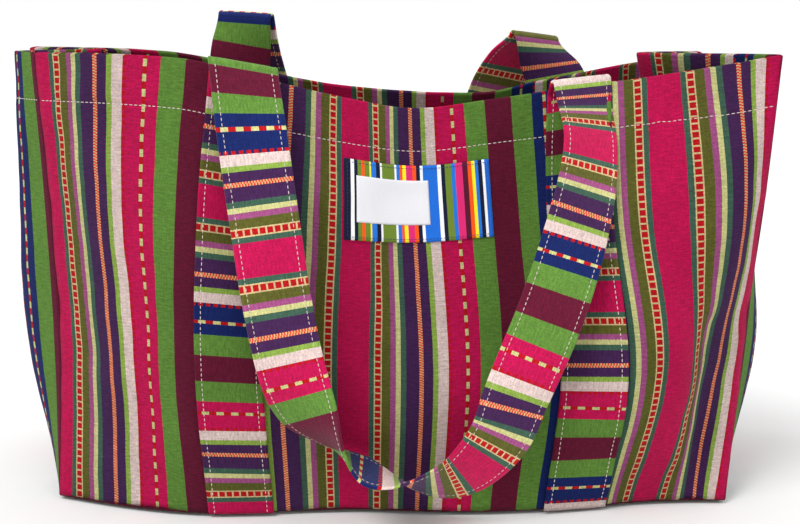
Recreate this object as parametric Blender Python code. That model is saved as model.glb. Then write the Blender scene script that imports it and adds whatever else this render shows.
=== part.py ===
"""Striped canvas tote bag: sewn panels with two webbing handles that swing on their creases.

Frame: X runs to the right along the front, Y away from the front, Z up. The origin lies
in the middle of the base's flat underside. Design numbers are in millimetres.
"""

from dataclasses import dataclass

import bmesh
import bpy
from mathutils import Vector

MM = 0.001

# ---- driving dimensions (mm) ----
CLOTH_WIDTH = 551.0  # front and back panels, seam to seam
CLOTH_HEIGHT = 323.0  # base seam to rim
GUSSET_WIDTH = 190.0  # gussets and base, seam to seam
CANVAS = 1.4
BASE_THICKNESS = 1.5
STRAP_WIDTH = 47.0
STRAP_THICKNESS = 2.4
LABEL_THICKNESS = 0.8
TAG_THICKNESS = 0.4

SKIN_GAP = 1.0  # between the cloth and what is sewn on it
LABEL_GAP = 0.5
SEAM_GAP = 3.6  # from a panel's edge to its gusset
SEAM_HEIGHT = 3.2  # lowest edge of the walls above the floor
CREASE_RADIUS = 3.0  # from a handle's axis to the strap's middle
CREASE_CLEARANCE = 0.5  # from a handle's axis to the cut ends of leg and loop
CREASE_TURN = 60.0  # how far from its creases a loop turns out of line with the axis

LABEL_BOX = (224.0, 341.0, 0.672, 0.862)  # cloth from, to; share of the height from, to
TAG_BOX = (233.5, 297.0, 0.715, 0.825)

# ---- how the cloth stands (mm) ----
# Each row crosses a panel at one share of its height. A knot is (x, y) over the floor.
ROW_HEIGHTS = (0.0, 0.35, 0.7, 1.0)
FRONT_COLUMNS = (0, 60, 110, 150, 230, 290, 345, 415, 460, 510, 551)
FRONT_RIM = (330, 329, 325, 315, 298, 291, 297, 307, 313, 321.5, 329)
FRONT_ROWS = (
    ((-256, -78), (-200, -100), (-151, -112), (-113, -112), (-37, -106), (17.5, -110),
     (69, -110), (137.5, -101), (174.5, -92), (212, -88), (242.5, -88)),
    ((-253, -65), (-198, -102), (-155, -125), (-117, -128), (-37, -111), (21, -108),
     (77, -108), (148, -121), (190, -124), (226.5, -90), (257, -62)),
    ((-257, -60), (-204, -97), (-151, -121), (-113, -124), (-34.5, -104), (15, -86),
     (71, -82), (136, -100), (179.5, -110), (230, -118), (256, -98)),
    ((-263, -60), (-203, -90), (-143, -106), (-105, -108), (-34.5, -91), (11.5, -82),
     (63.5, -79), (133.5, -70), (180, -66), (224.5, -92), (257.5, -120)),
)
BACK_COLUMNS = (0, 110, 230, 345, 400, 460, 551)
BACK_RIM = (334, 330, 306, 299, 308, 318, 331)
BACK_ROWS = (
    ((-262, 104), (-156, 92), (-44, 84), (66, 84), (116, 86), (170, 90), (250, 98)),
    ((-272, 86), (-162, 98), (-48, 94), (66, 92), (118, 96), (172, 100), (258, 90)),
    ((-280, 36), (-170, 54), (-52, 52), (64, 54), (116, 60), (168, 60), (248, 40)),
    ((-283, -5), (-174, 6), (-54, 12), (62, 16), (112, 26), (162, 24), (236, 5)),
)
# A gusset's two inner knots on each row, at these shares of its width. The rest are its seams.
GUSSET_FOLDS = (0.27, 0.63)
LEFT_FOLDS = (
    ((-265, -30), (-268, 40)),
    ((-284, -20), (-262, 38)),
    ((-290, -24), (-240, -6)),
    ((-293, -26), (-222, -38)),
)
RIGHT_FOLDS = (
    ((250, -37), (253, 34)),
    ((277, -20), (240, 42)),
    ((249, -46), (202, -4)),
    ((236, -74), (178, -32)),
)


# ---- handles (mm) ----
@dataclass(frozen=True)
class Handle:
    """One strap: two legs sewn up a panel and the free loop that swings between them.

    The axis runs through both creases. The route is the loop's middle line, from the left
    crease round to the right one, without its two ends.
    """

    panel: str
    side: int  # -1 faces the front, +1 the back
    legs: dict  # each leg's middle along the panel's cloth, at ROW_HEIGHTS
    creases: dict  # each crease, on the axis
    route: tuple

    def axis(self):
        left, right = (Vector(self.creases[end]) for end in ("left", "right"))
        return (right - left).normalized()

    def layer(self, end, outer):
        """The middle of the leg's end, or of the loop's outside it: one each side of the axis."""
        away = Vector((0.0, 0.0, 1.0)).cross(self.axis()).normalized() * self.side
        drop = Vector((0.0, 0.0, CREASE_CLEARANCE))
        return Vector(self.creases[end]) + away * CREASE_RADIUS * (1 if outer else -1) - drop


FRONT_HANDLE = Handle(
    panel="front",
    side=-1,
    legs={"left": (148.0, 148.0, 148.0, 148.0), "right": (404.0, 404.0, 408.0, 414.0)},
    creases={"left": (-104, -115, 320.5), "right": (128, -77, 309.5)},
    route=(
        (-99, -128, 290), (-93, -138, 250), (-87, -143, 208), (-81, -145, 165),
        (-72, -145, 114), (-61, -142, 84), (-45, -139, 61), (-24, -138, 45),
        (0, -138, 38), (22, -138, 38), (39, -138, 45), (55, -139, 59), (68, -140, 76),
        (77, -140, 97), (86, -139, 120), (96, -137, 147), (107, -133, 178),
        (118, -126, 211), (127, -115, 242), (132, -100, 270), (131, -85, 293),
    ),
)
BACK_HANDLE = Handle(
    panel="back",
    side=1,
    legs={"left": (156.0, 156.0, 156.0, 156.0), "right": (414.0, 414.0, 414.0, 414.0)},
    creases={"left": (-120, 18, 358), "right": (107, 35, 342)},
    route=(
        (-116, 33, 328), (-109, 50, 288), (-101, 72, 245), (-93, 90, 205),
        (-82, 102, 170), (-66, 108, 140), (-43, 110, 118), (-14, 110, 108), (14, 110, 110),
        (38, 110, 124), (54, 106, 150), (62, 98, 185), (68, 84, 222), (74, 69, 262),
        (82, 54, 300), (94, 42, 327),
    ),
)


def on_curve(knots, values, t):
    """The point at t on a smooth curve through values, one value for each knot."""
    i = 0
    while i < len(knots) - 2 and t > knots[i + 1]:
        i += 1

    def slope(k):
        low, high = max(k - 1, 0), min(k + 1, len(knots) - 1)
        return (values[high] - values[low]) / (knots[high] - knots[low])

    span = knots[i + 1] - knots[i]
    s = (t - knots[i]) / span
    start, end = slope(i) * span, slope(i + 1) * span
    if not 0.0 <= s <= 1.0:
        edge = i if s < 0.0 else i + 1
        return values[edge] + slope(edge) * (t - knots[edge])
    return (
        values[i] * (1 + 2 * s) * (1 - s) ** 2
        + start * s * (1 - s) ** 2
        + values[i + 1] * s * s * (3 - 2 * s)
        + end * s * s * (s - 1)
    )


def over_floor(rows, columns, u, v):
    """Where a net of knots stands over the floor, u along the cloth and v up it."""
    across = [on_curve(columns, [Vector(knot) for knot in row], u) for row in rows]
    return on_curve(ROW_HEIGHTS, across, v)


def wall_point(rows, columns, rim, u, v):
    """A point of a wall's middle surface, in metres."""
    x, y = over_floor(rows, columns, u, v)
    top = on_curve(columns, rim, u)
    return Vector((x, y, SEAM_HEIGHT + v * (top - SEAM_HEIGHT))) * MM


def front_surface(u, v):
    return wall_point(FRONT_ROWS, FRONT_COLUMNS, FRONT_RIM, u, v)


def back_surface(u, v):
    return wall_point(BACK_ROWS, BACK_COLUMNS, BACK_RIM, u, v)


def gusset_surface(folds, seam_u):
    """The surface of the gusset between the panels' edges at seam_u, as a function of (w, v)."""
    first, second = front_edge(seam_u), back_edge(seam_u)
    knots = (0.0, *GUSSET_FOLDS, 1.0)

    def surface(w, v):
        front, back = first(v), second(v)
        inner = [on_curve(ROW_HEIGHTS, [Vector(row[k]) for row in folds], v) * MM for k in range(2)]
        x, y = on_curve(knots, [front.xy, *inner, back.xy], w)
        return Vector((x, y, front.z + (back.z - front.z) * w))

    return surface


def front_edge(u):
    return lambda v: front_surface(u, v)


def back_edge(u):
    return lambda v: back_surface(u, v)


def outward(surface, u, v, step):
    """The surface's unit normal, on the side of u crossed with v."""
    along_u = surface(u + step, v) - surface(u - step, v)
    along_v = surface(u, v + 0.01) - surface(u, v - 0.01)
    return along_u.cross(along_v).normalized()


def material(name, colour, roughness):
    made = bpy.data.materials.new(name)
    made.use_nodes = True
    shader = made.node_tree.nodes["Principled BSDF"]
    shader.inputs["Base Color"].default_value = (*colour, 1.0)
    shader.inputs["Roughness"].default_value = roughness
    shader.inputs["Metallic"].default_value = 0.0
    made.diffuse_color = (*colour, 1.0)
    return made


def sheet(name, place, columns, rows, thickness, finish):
    """A curved sheet: a grid whose points place(across, up) puts, with both shares from 0 to 1."""
    mesh = bpy.data.meshes.new(name)
    shape = bmesh.new()
    bmesh.ops.create_grid(shape, x_segments=columns, y_segments=rows, size=0.5)
    for vertex in shape.verts:
        vertex.co = place(vertex.co.x + 0.5, vertex.co.y + 0.5)
    shape.to_mesh(mesh)
    shape.free()
    mesh.shade_smooth()
    mesh.materials.append(finish)
    made = bpy.data.objects.new(name, mesh)
    bpy.context.collection.objects.link(made)
    wall = made.modifiers.new("Wall", "SOLIDIFY")
    wall.thickness = thickness * MM
    wall.offset = 0.0
    return made


def panel(name, surface, finish):
    return sheet(
        name,
        lambda a, b: surface(a * CLOTH_WIDTH, b),
        columns=36,
        rows=14,
        thickness=CANVAS,
        finish=finish,
    )


def gusset(name, folds, seam_u, finish):
    surface = gusset_surface(folds, seam_u)
    inset = SEAM_GAP / GUSSET_WIDTH
    return sheet(
        name,
        lambda a, b: surface(inset + a * (1 - 2 * inset), b),
        columns=16,
        rows=14,
        thickness=CANVAS,
        finish=finish,
    )


def base(name, finish):
    """A flat slab under the walls, its outline the walls' lowest edges."""
    mesh = bpy.data.meshes.new(name)
    shape = bmesh.new()
    sides = 24
    front = [front_surface(CLOTH_WIDTH * i / sides, 0.0) for i in range(sides + 1)]
    back = [back_surface(CLOTH_WIDTH * (1 - i / sides), 0.0) for i in range(sides + 1)]
    outline = [shape.verts.new((p.x, p.y, 0.0)) for p in front + back]
    floor = shape.faces.new(outline)
    raised = bmesh.ops.extrude_face_region(shape, geom=[floor])
    upper = [item for item in raised["geom"] if isinstance(item, bmesh.types.BMVert)]
    bmesh.ops.translate(shape, verts=upper, vec=(0.0, 0.0, BASE_THICKNESS * MM))
    bmesh.ops.recalc_face_normals(shape, faces=shape.faces)
    shape.to_mesh(mesh)
    shape.free()
    mesh.materials.append(finish)
    made = bpy.data.objects.new(name, mesh)
    bpy.context.collection.objects.link(made)
    return made


def sewn_on(name, surface, box, lift, thickness, columns, rows, finish):
    """A patch that follows the cloth, at lift in front of its middle surface."""
    u_from, u_to, v_from, v_to = box

    def place(a, b):
        u = u_from + a * (u_to - u_from)
        v = v_from + b * (v_to - v_from)
        return surface(u, v) + outward(surface, u, v, 4.0) * lift * MM

    return sheet(name, place, columns, rows, thickness, finish)


def leg(name, surface, handle, end, finish):
    """A strap leg sewn up its panel, with a free stub that runs on from the rim to the crease."""
    lift = CANVAS / 2 + SKIN_GAP + STRAP_THICKNESS / 2

    def on_panel(across, v):
        u = on_curve(ROW_HEIGHTS, handle.legs[end], v) + across
        return surface(u, v) + outward(surface, u, v, 4.0) * -handle.side * lift * MM

    crease = handle.layer(end, outer=False)
    stub = (crease * MM - on_panel(0.0, 1.0)).length / MM
    sewn_share = CLOTH_HEIGHT / (CLOTH_HEIGHT + stub)

    def place(a, b):
        across = (a - 0.5) * STRAP_WIDTH
        if b <= sewn_share:
            return on_panel(across, b / sewn_share)
        free = (b - sewn_share) / (1 - sewn_share)
        return on_panel(across, 1.0).lerp((crease + handle.axis() * across) * MM, free)

    return sheet(name, place, 4, 24, STRAP_THICKNESS, finish)


def loop(name, handle, finish):
    """A handle's free loop: a flat strap swept along its route, in line with the axis at both ends."""
    ends = [handle.layer(end, outer=True) for end in ("left", "right")]
    points = [ends[0], *(Vector(point) for point in handle.route), ends[1]]
    knots = [0.0]
    for near, far in zip(points, points[1:]):
        knots.append(knots[-1] + (far - near).length)
    length = knots[-1]
    facing = Vector((0.0, handle.side, 0.0))

    def place(a, b):
        along = a * length
        middle = on_curve(knots, points, along)
        ahead = on_curve(knots, points, min(along + 1.0, length)) - on_curve(
            knots, points, max(along - 1.0, 0.0)
        )
        across = facing.cross(ahead).normalized()
        level = handle.axis() * (1.0 if across.x > 0.0 else -1.0)
        turned = min(min(along, length - along) / CREASE_TURN, 1.0)
        across = level.lerp(across, turned * turned * (3 - 2 * turned)).normalized()
        return (middle + across * (b - 0.5) * STRAP_WIDTH) * MM

    return sheet(name, place, 64, 3, STRAP_THICKNESS, finish)


def main():
    for old in list(bpy.data.objects):
        bpy.data.objects.remove(old)

    canvas_front = material("front_canvas", (0.56, 0.02, 0.11), 0.85)
    canvas_back = material("back_canvas", (0.42, 0.02, 0.10), 0.85)
    canvas_left = material("left_canvas", (0.10, 0.20, 0.04), 0.85)
    canvas_right = material("right_canvas", (0.10, 0.22, 0.05), 0.85)
    canvas_base = material("base_canvas", (0.05, 0.11, 0.03), 0.9)
    strap_front = material("front_strap_canvas", (0.13, 0.25, 0.06), 0.8)
    strap_back = material("back_strap_canvas", (0.12, 0.02, 0.05), 0.8)
    patch = material("label_canvas", (0.03, 0.14, 0.45), 0.75)
    tape = material("label_tape", (0.75, 0.75, 0.73), 0.7)

    panel("front_panel", front_surface, canvas_front)
    panel("back_panel", back_surface, canvas_back)
    gusset("left_gusset", LEFT_FOLDS, 0.0, canvas_left)
    gusset("right_gusset", RIGHT_FOLDS, CLOTH_WIDTH, canvas_right)
    base("base_panel", canvas_base)

    surfaces = {"front": front_surface, "back": back_surface}
    straps = {"front": strap_front, "back": strap_back}
    for handle in (FRONT_HANDLE, BACK_HANDLE):
        surface, strap = surfaces[handle.panel], straps[handle.panel]
        for end in ("left", "right"):
            leg(f"{handle.panel}_strap_{end}", surface, handle, end, strap)
        loop(f"{handle.panel}_handle_loop", handle, strap)

    patch_lift = CANVAS / 2 + LABEL_GAP + LABEL_THICKNESS / 2
    tag_lift = patch_lift + LABEL_THICKNESS / 2 + LABEL_GAP + TAG_THICKNESS / 2
    sewn_on("label_patch", front_surface, LABEL_BOX, patch_lift, LABEL_THICKNESS, 12, 6, patch)
    sewn_on("label_tag", front_surface, TAG_BOX, tag_lift, TAG_THICKNESS, 8, 4, tape)


main()
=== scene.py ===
"""Striped canvas tote bag: sewn cloth, straps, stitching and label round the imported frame.

Lengths are in metres. X runs to the right along the front, Y away from the front, Z up.
"""

from __future__ import annotations

import itertools
import logging
import math
from dataclasses import dataclass, field
from enum import Enum
from typing import Callable, Sequence

import bmesh
import bpy
import numpy as np
from mathutils import Matrix, Vector


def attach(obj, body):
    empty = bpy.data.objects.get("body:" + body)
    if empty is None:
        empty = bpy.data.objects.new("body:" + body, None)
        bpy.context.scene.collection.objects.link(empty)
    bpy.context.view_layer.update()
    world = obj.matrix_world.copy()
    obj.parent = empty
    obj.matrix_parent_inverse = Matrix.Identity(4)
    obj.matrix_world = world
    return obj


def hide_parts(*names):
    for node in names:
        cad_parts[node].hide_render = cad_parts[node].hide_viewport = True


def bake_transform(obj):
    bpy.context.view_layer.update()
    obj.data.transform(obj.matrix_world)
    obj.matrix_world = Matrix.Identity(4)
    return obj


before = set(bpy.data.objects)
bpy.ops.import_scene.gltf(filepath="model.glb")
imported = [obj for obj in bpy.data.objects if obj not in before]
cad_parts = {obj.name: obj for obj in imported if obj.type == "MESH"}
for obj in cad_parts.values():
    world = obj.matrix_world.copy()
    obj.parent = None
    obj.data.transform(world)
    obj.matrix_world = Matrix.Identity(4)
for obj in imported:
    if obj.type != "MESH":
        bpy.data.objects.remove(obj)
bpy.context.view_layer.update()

MM = 0.001
UP = np.array([0.0, 0.0, 1.0])
UNIT = 0.74 * MM  # the step that the stripe widths below are counted in
STAMP = logging.getLogger("tote")

CLOTH_MAP = "cloth"
CLOTH_WIDE = 548.0  # mm, of a panel from seam to seam

Points = np.ndarray
Place = Callable[[np.ndarray, np.ndarray], Points]
Phase = Callable[[np.ndarray], np.ndarray]
Rise = Callable[[np.ndarray, np.ndarray], np.ndarray]
Light = tuple[float, float, float, float]
Socket = bpy.types.NodeSocket


# ---------------------------------------------------------------- curves


def spline(knots: Sequence[float], values: np.ndarray, t: np.ndarray) -> np.ndarray:
    """Smooth curve through values, straight on past both ends.

    Args:
        knots: where each value stands, rising.
        values: one row for each knot; a second axis may hold a value for each t.
        t: where the curve is read.

    Returns:
        The curve's points, one row for each t.
    """
    at = np.asarray(knots, float)
    rows = np.asarray(values, float)
    if rows.ndim == 2:
        rows = np.repeat(rows[:, None, :], len(t), axis=1)
    slope = np.empty_like(rows)
    slope[1:-1] = (rows[2:] - rows[:-2]) / (at[2:] - at[:-2])[:, None, None]
    slope[0] = (rows[1] - rows[0]) / (at[1] - at[0])
    slope[-1] = (rows[-1] - rows[-2]) / (at[-1] - at[-2])
    i = np.clip(np.searchsorted(at, t, side="right") - 1, 0, len(at) - 2)
    n = np.arange(len(t))
    span = (at[i + 1] - at[i])[:, None]
    raw = (t - at[i])[:, None] / span
    s = np.clip(raw, 0.0, 1.0)
    start, end = slope[i, n] * span, slope[i + 1, n] * span
    inside = (
        rows[i, n] * (1 + 2 * s) * (1 - s) ** 2
        + start * s * (1 - s) ** 2
        + rows[i + 1, n] * s * s * (3 - 2 * s)
        + end * s * s * (s - 1)
    )
    return inside + np.where(raw > 1.0, end, start) * (raw - s)


def smooth(low: float, high: float, t: np.ndarray) -> np.ndarray:
    """A smooth step along t, from 0 at low to 1 at high."""
    s = np.clip((t - low) / (high - low), 0.0, 1.0)
    return s * s * (3 - 2 * s)


def fading(away: np.ndarray, width: float) -> np.ndarray:
    """A bell: 1 at no distance away, and down by two thirds at one width."""
    return np.exp(-((away / width) ** 2))


def unit(vectors: np.ndarray) -> np.ndarray:
    """The rows of vectors, each made one long."""
    return vectors / np.maximum(np.linalg.norm(vectors, axis=-1, keepdims=True), 1e-12)


def reach_of(points: Points) -> np.ndarray:
    """How far each point is from the first one, along the line through them."""
    return np.concatenate([[0.0], np.cumsum(np.linalg.norm(np.diff(points, axis=0), axis=1))])


def read_along(reach: np.ndarray, rows: np.ndarray, at: np.ndarray) -> np.ndarray:
    """The rows, which stand at reach, read at the places between."""
    return np.column_stack([np.interp(at, reach, rows[:, k]) for k in range(3)])


# ---------------------------------------------------------------- how the cloth stands


@dataclass(frozen=True)
class Fold:
    """A soft ridge in a panel, from one place on the cloth to another.

    Places are (along the cloth in mm, share of its height). A negative height is a hollow.
    """

    start: tuple[float, float]
    end: tuple[float, float]
    width: float  # mm, to where it has faded by two thirds
    height: float  # mm

    def lift(self, u: np.ndarray, v: np.ndarray, tall: float) -> np.ndarray:
        """How far the ridge lifts the cloth.

        Args:
            u: along the cloth, in mm.
            v: share of its height.
            tall: its height, in mm.

        Returns:
            The lift at each (u, v), in mm.
        """
        here = np.stack([u, v * tall], axis=-1)
        a = np.array([self.start[0], self.start[1] * tall])
        line = np.array([self.end[0], self.end[1] * tall]) - a
        along = np.clip(((here - a) @ line) / (line @ line), 0.0, 1.0)
        away = np.linalg.norm(here - a - along[:, None] * line, axis=1)
        return self.height * fading(away, self.width)


@dataclass(frozen=True)
class Ripple:
    """Fine unevenness that all the cloth has: a few crossing waves, with fixed phases."""

    height: float = 0.35  # mm
    pitches: tuple[float, ...] = (83.0, 57.0, 41.0, 29.0)  # mm
    turns: tuple[float, ...] = (0.3, 1.4, 2.5, 0.9)  # radians

    EVEN_PITCH = 60.0  # mm, of a wave that is one height high
    CROSSING = 1.7  # a wave's length across, in pitches
    PHASE = 3.1  # radians along for each radian of turn
    CROSS_PHASE = 5.3  # radians across for each radian of turn

    def lift(self, u: np.ndarray, y: np.ndarray) -> np.ndarray:
        """How far the ripple lifts the cloth.

        Args:
            u: along the cloth, in mm.
            y: up it, in mm.

        Returns:
            The lift at each (u, y), in mm.
        """
        total = np.zeros_like(u)
        for pitch, turn in zip(self.pitches, self.turns):
            along = u * math.cos(turn) + y * math.sin(turn)
            across = y * math.cos(turn) - u * math.sin(turn)
            wave = np.sin(along * math.tau / pitch + self.PHASE * turn)
            cross = np.cos(across * math.tau / (self.CROSSING * pitch) + self.CROSS_PHASE * turn)
            total += pitch / self.EVEN_PITCH * wave * cross
        return self.height * total


class Surface:
    """A wall's middle surface, read at u along it and at v, a share of its height."""

    STEP = 0.01  # of u, over which the slope along the wall is read
    RISE = 0.01  # of v, for the slope up it
    outside: int  # 1 where u crossed with v points out of the bag, or -1

    def bare(self, u: np.ndarray, v: np.ndarray) -> Points:
        """The smooth surface without folds, in mm."""
        raise NotImplementedError

    def uneven(self, u: np.ndarray, v: np.ndarray) -> np.ndarray:
        """How far folds and ripples lift the cloth off the smooth surface, in mm."""
        raise NotImplementedError

    def normal(self, u: np.ndarray, v: np.ndarray) -> np.ndarray:
        """Unit normals that point out of the bag.

        Args:
            u: along the wall.
            v: share of the height, 1 at the rim.

        Returns:
            One row for each (u, v).
        """
        along = self.bare(u + self.STEP, v) - self.bare(u - self.STEP, v)
        up = self.bare(u, v + self.RISE) - self.bare(u, v - self.RISE)
        return unit(np.cross(along, up)) * self.outside

    def at(self, u: np.ndarray, v: np.ndarray, lift: np.ndarray | float = 0.0) -> Points:
        """Points of the cloth in metres.

        Args:
            u: along the wall.
            v: share of the height, 1 at the rim.
            lift: how far outside the cloth's middle, in mm.

        Returns:
            One row of coordinates for each (u, v).
        """
        raised = self.uneven(u, v) + lift
        return (self.bare(u, v) + self.normal(u, v) * raised[:, None]) * MM


@dataclass(frozen=True)
class Wall(Surface):
    """A panel: rows of knots over the floor, and the height of its rim. Its u is in mm."""

    columns: tuple[float, ...]
    rim: tuple[float, ...]
    rows: tuple[tuple[tuple[float, float], ...], ...]
    folds: tuple[Fold, ...] = ()
    outside: int = 1
    ripple: Ripple = Ripple()

    STEP = 2.0
    ROW_HEIGHTS = (0.0, 0.35, 0.7, 1.0)
    TALL = 323.0  # mm, of cloth from the base seam to the rim
    SEAM_HEIGHT = 3.2  # mm, of the lowest edge over the floor

    def bare(self, u: np.ndarray, v: np.ndarray) -> Points:
        """The smooth panel, through its knots.

        Args:
            u: along the cloth, in mm.
            v: share of the height, 1 at the rim.

        Returns:
            Points in mm.
        """
        rows = [spline(self.columns, np.array(row), u) for row in self.rows]
        floor = spline(self.ROW_HEIGHTS, np.array(rows), v)
        top = spline(self.columns, np.array(self.rim)[:, None], u)[:, 0]
        height = self.SEAM_HEIGHT + v * (top - self.SEAM_HEIGHT)
        return np.column_stack([floor, height])

    def uneven(self, u: np.ndarray, v: np.ndarray) -> np.ndarray:
        """What the ripple and every fold add up to, in mm."""
        ripple = self.ripple.lift(u, v * self.TALL)
        return ripple + sum(fold.lift(u, v, self.TALL) for fold in self.folds)


FRONT = Wall(
    columns=(0, 60, 110, 150, 230, 290, 345, 415, 460, 510, 551),
    rim=(330, 329, 325, 315, 298, 291, 297, 307, 313, 321.5, 329),
    rows=(
        ((-256, -78), (-200, -100), (-151, -112), (-113, -112), (-37, -106), (17.5, -110),
         (69, -110), (137.5, -101), (174.5, -92), (213, -88), (244, -88)),
        ((-253, -65), (-198, -102), (-155, -125), (-117, -128), (-37, -111), (21, -108),
         (77, -108), (148, -121), (190, -124), (228, -90), (258.5, -62)),
        ((-257, -60), (-204, -97), (-151, -121), (-113, -124), (-34.5, -104), (15, -86),
         (71, -82), (136, -100), (179.5, -110), (231.5, -118), (258, -98)),
        ((-263, -60), (-203, -90), (-143, -106), (-105, -108), (-34.5, -91), (11.5, -82),
         (63.5, -79), (133.5, -70), (181, -66), (227, -92), (259.5, -120)),
    ),
    folds=(
        Fold((185, 0.9), (262, 0.45), 20, 2.5),
        Fold((205, 0.55), (215, 0.05), 16, -2.0),
        Fold((300, 0.62), (330, 0.25), 30, 2.5),
        Fold((375, 0.95), (345, 0.45), 15, -2.5),
        Fold((455, 0.55), (485, 0.12), 13, 2.5),
        Fold((500, 0.42), (517, 0.03), 11, -3.5),
        Fold((540, 0.36), (538, 0.05), 9, 2.0),
        Fold((40, 0.9), (52, 0.3), 22, 2.0),
        Fold((85, 0.5), (80, 0.0), 20, -2.0),
    ),
)
BACK = Wall(
    columns=(0, 110, 230, 345, 400, 460, 551),
    rim=(334, 330, 306, 299, 308, 318, 331),
    rows=(
        ((-262, 104), (-156, 92), (-44, 84), (66, 84), (116, 86), (170, 90), (250, 98)),
        ((-272, 86), (-162, 98), (-48, 94), (66, 92), (118, 96), (172, 100), (258, 90)),
        ((-280, 36), (-170, 54), (-52, 52), (64, 54), (116, 60), (168, 60), (248, 40)),
        ((-283, -5), (-174, 6), (-54, 12), (62, 16), (112, 26), (162, 24), (236, 5)),
    ),
    folds=(
        Fold((60, 0.9), (130, 0.4), 24, 3.0),
        Fold((250, 0.9), (215, 0.3), 26, -3.0),
        Fold((330, 0.7), (390, 0.2), 24, 3.0),
        Fold((500, 0.85), (470, 0.3), 20, -3.5),
    ),
    outside=-1,
)


@dataclass(frozen=True)
class Side(Surface):
    """A gusset, between the panels' edges at one end of both.

    Its u is a share of its width, counted from the front seam.
    """

    seam: float  # mm along the panels
    folds: tuple[tuple[tuple[float, float], ...], ...]
    outside: int
    ripple: Ripple = Ripple()

    SHARES = (0.0, 0.27, 0.63, 1.0)
    WIDE = 190.0  # mm, of cloth from seam to seam
    RIPPLE_START = 70.0  # mm

    def bare(self, u: np.ndarray, v: np.ndarray) -> Points:
        """The smooth gusset, between both seams and through its knots.

        Args:
            u: share of the width, 0 at the front seam.
            v: share of the height, 1 at the rim.

        Returns:
            Points in mm.
        """
        edge = np.full_like(u, self.seam)
        front, back = FRONT.bare(edge, v), BACK.bare(edge, v)
        inner = [
            spline(Wall.ROW_HEIGHTS, np.array([row[k] for row in self.folds]), v) for k in range(2)
        ]
        floor = spline(self.SHARES, np.array([front[:, :2], *inner, back[:, :2]]), u)
        return np.column_stack([floor, front[:, 2] + (back[:, 2] - front[:, 2]) * u])

    def uneven(self, u: np.ndarray, v: np.ndarray) -> np.ndarray:
        """The ripple, which calms down towards both seams, in mm."""
        calm = np.sin(np.clip(u, 0, 1) * math.pi)
        return self.ripple.lift(u * self.WIDE + self.RIPPLE_START, v * Wall.TALL) * calm


LEFT = Side(
    seam=0.0,
    folds=(
        ((-268, -30), (-268, 40)),
        ((-291, -22), (-262, 38)),
        ((-290, -24), (-240, -6)),
        ((-286, -26), (-222, -38)),
    ),
    outside=-1,
)
RIGHT = Side(
    seam=CLOTH_WIDE,
    folds=(
        ((250, -37), (253, 34)),
        ((277, -20), (240, 42)),
        ((249, -46), (202, -4)),
        ((236, -74), (178, -32)),
    ),
    outside=1,
)


# ---------------------------------------------------------------- finishes


class Yarn(Enum):
    """The dyed yarns, in display colour."""

    PINK = (164, 10, 66)
    TEAL = (52, 80, 65)
    CREAM = (180, 160, 116)
    RED = (156, 12, 20)
    ORANGE = (188, 60, 38)
    OLIVE = (78, 78, 30)
    LILAC = (136, 66, 110)
    YELLOW = (172, 170, 114)
    PURPLE = (55, 27, 66)
    LIME = (118, 144, 60)
    WHITE = (188, 168, 163)
    GREEN = (80, 116, 46)
    MAROON = (84, 14, 39)
    BLUE = (14, 28, 80)

    def linear(self) -> Light:
        """The colour as light, which is what a shader takes."""
        return shade(*self.value)


def shade(red: int, green: int, blue: int) -> Light:
    """A display colour, as light.

    Args:
        red, green, blue: from 0 to 255.

    Returns:
        The four values that a shader takes.
    """
    scaled = [c / 255 for c in (red, green, blue)]
    light = [c / 12.92 if c <= 0.04045 else ((c + 0.055) / 1.055) ** 2.4 for c in scaled]
    return (*light, 1.0)


class LabelYarn(Enum):
    """The patch's yarns, in display colour."""

    NAVY = (14, 22, 50)
    WHITE = (235, 235, 235)
    GREEN = (104, 128, 44)
    ORANGE = (240, 84, 20)
    YELLOW = (236, 226, 40)
    BLUE = (36, 112, 206)
    DEEP_BLUE = (28, 104, 206)
    PINK = (214, 40, 110)
    MAROON = (84, 16, 44)


class Pick(Enum):
    """How a band's second yarn shows along the cloth: its repeat in units and its share."""

    PLAIN = (1.0, 0.0)
    LADDER = (6.9, 0.23)  # thin rungs between squares
    TICK = (6.9, 0.62)
    DASH = (13.8, 0.5)
    CHECK = (2.7, 0.36)
    CHECK_BACK = (2.7, 0.64)

    def channels(self) -> Light:
        """The pick as a colour that a ramp can hold: ladder, then tick or dash, then check."""
        ladder = 1.0 if self is Pick.LADDER else 0.0
        dash = 1.0 if self in (Pick.TICK, Pick.DASH) else 0.0
        return (ladder, dash, {Pick.CHECK: 1.0, Pick.CHECK_BACK: 0.5}.get(self, 0.0), 1.0)


@dataclass(frozen=True)
class Band:
    """One warp stripe: its width in units, its yarn, and what is picked out on it.

    A band without a yarn of its own is pink on one side of the repeat and blue on the other.
    """

    width: float
    yarn: Yarn | None
    pick: Pick = Pick.PLAIN
    other: Yarn | None = None


GROUND = None  # no yarn of its own
HALF_REPEAT = (
    Band(15, Yarn.PINK),
    Band(5, Yarn.TEAL),
    Band(1, Yarn.CREAM),
    Band(6, Yarn.RED, Pick.LADDER, Yarn.CREAM),
    Band(1, Yarn.CREAM),
    Band(9, Yarn.OLIVE),
    Band(5, Yarn.LILAC),
    Band(5.5, Yarn.YELLOW),
    Band(5, Yarn.TEAL),
    Band(13.5, Yarn.PURPLE),
    Band(2, Yarn.ORANGE, Pick.CHECK, Yarn.CREAM),
    Band(2, Yarn.CREAM, Pick.CHECK_BACK, Yarn.ORANGE),
    Band(9.5, Yarn.PURPLE),
    Band(5, Yarn.LIME),
    Band(9.5, Yarn.WHITE),
    Band(3, GROUND, Pick.TICK, Yarn.RED),
    Band(13.5, GROUND),
    Band(3.5, Yarn.RED, Pick.DASH, Yarn.YELLOW),
    Band(10.5, GROUND),
    Band(20, Yarn.GREEN),
    Band(13.5, Yarn.MAROON),
)
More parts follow.
